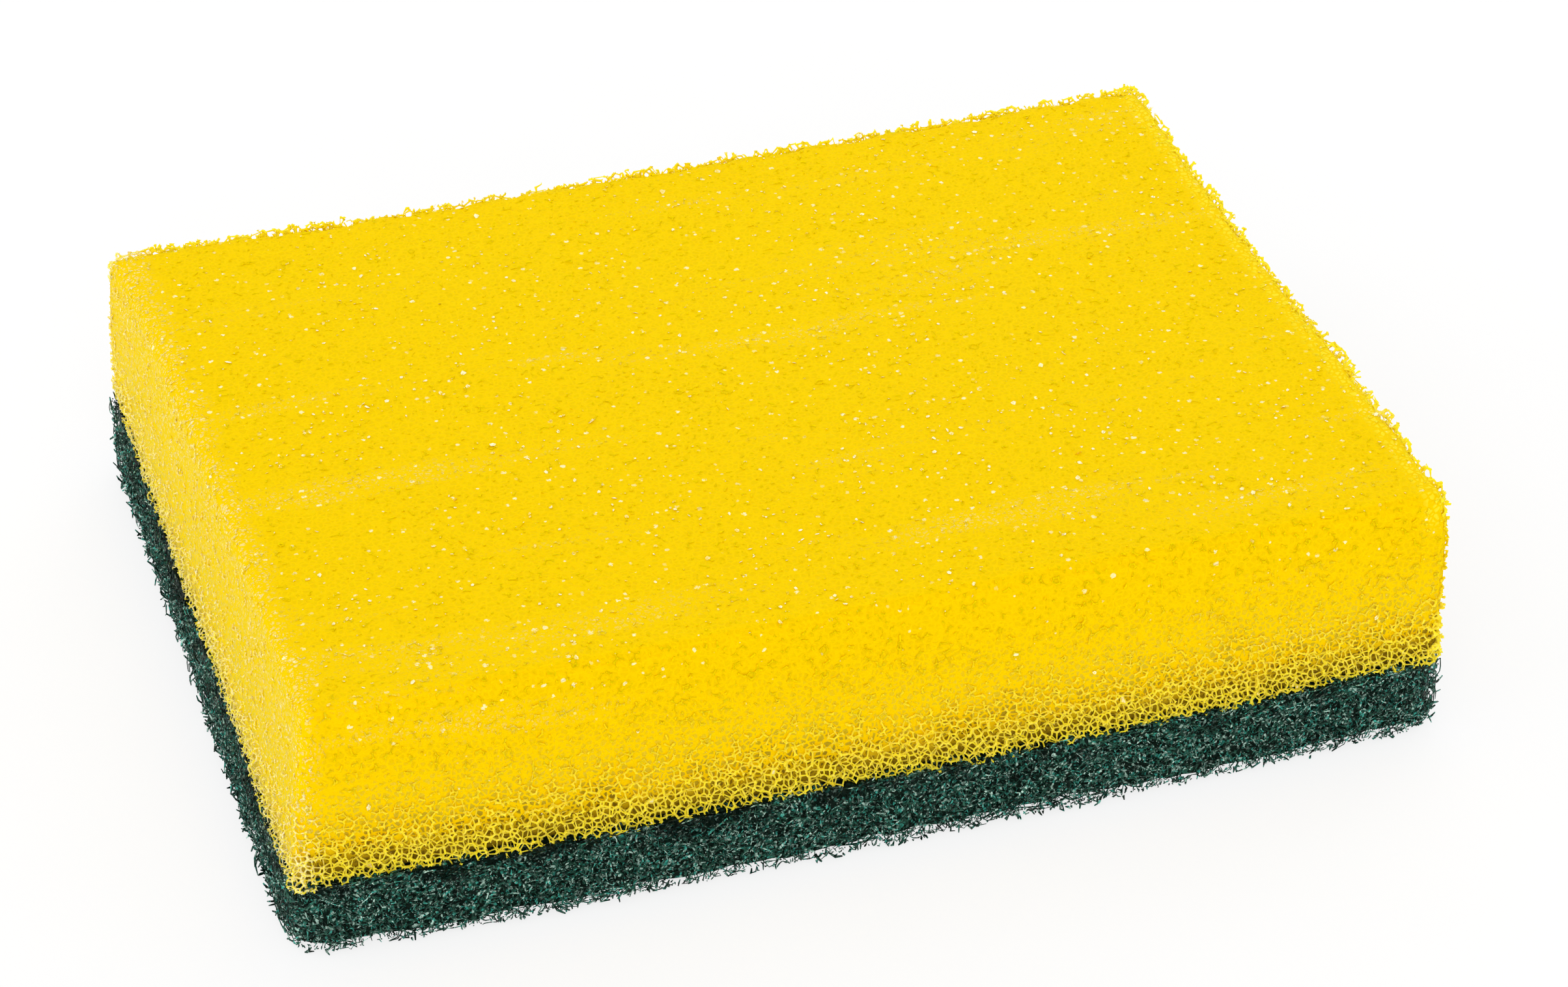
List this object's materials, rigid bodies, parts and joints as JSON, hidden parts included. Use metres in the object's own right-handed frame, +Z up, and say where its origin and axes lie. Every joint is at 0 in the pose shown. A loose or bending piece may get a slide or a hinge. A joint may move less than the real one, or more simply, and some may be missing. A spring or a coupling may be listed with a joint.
{
  "type": "cleaning sponge",
  "caption": "Rectangular coarse-cell foam block bonded face to face onto a thick abrasive scouring pad, for wiping and scrubbing.",
  "frame": {"origin": "centre of the pad's underside, on the surface that the sponge rests on", "axes": "+X along the length, +Y along the width, +Z up from the pad to the foam's top face"},
  "size_m": [0.151, 0.1138, 0.0345],
  "materials": {
    "foam": "soft open-cell foam, matte",
    "pad_fibre": "coarse nonwoven fibre with abrasive grain, matte"
  },
  "bodies": {
    "root": {"scouring_pad": "pad_fibre", "foam_block": "foam"}
  },
  "joints": []
}
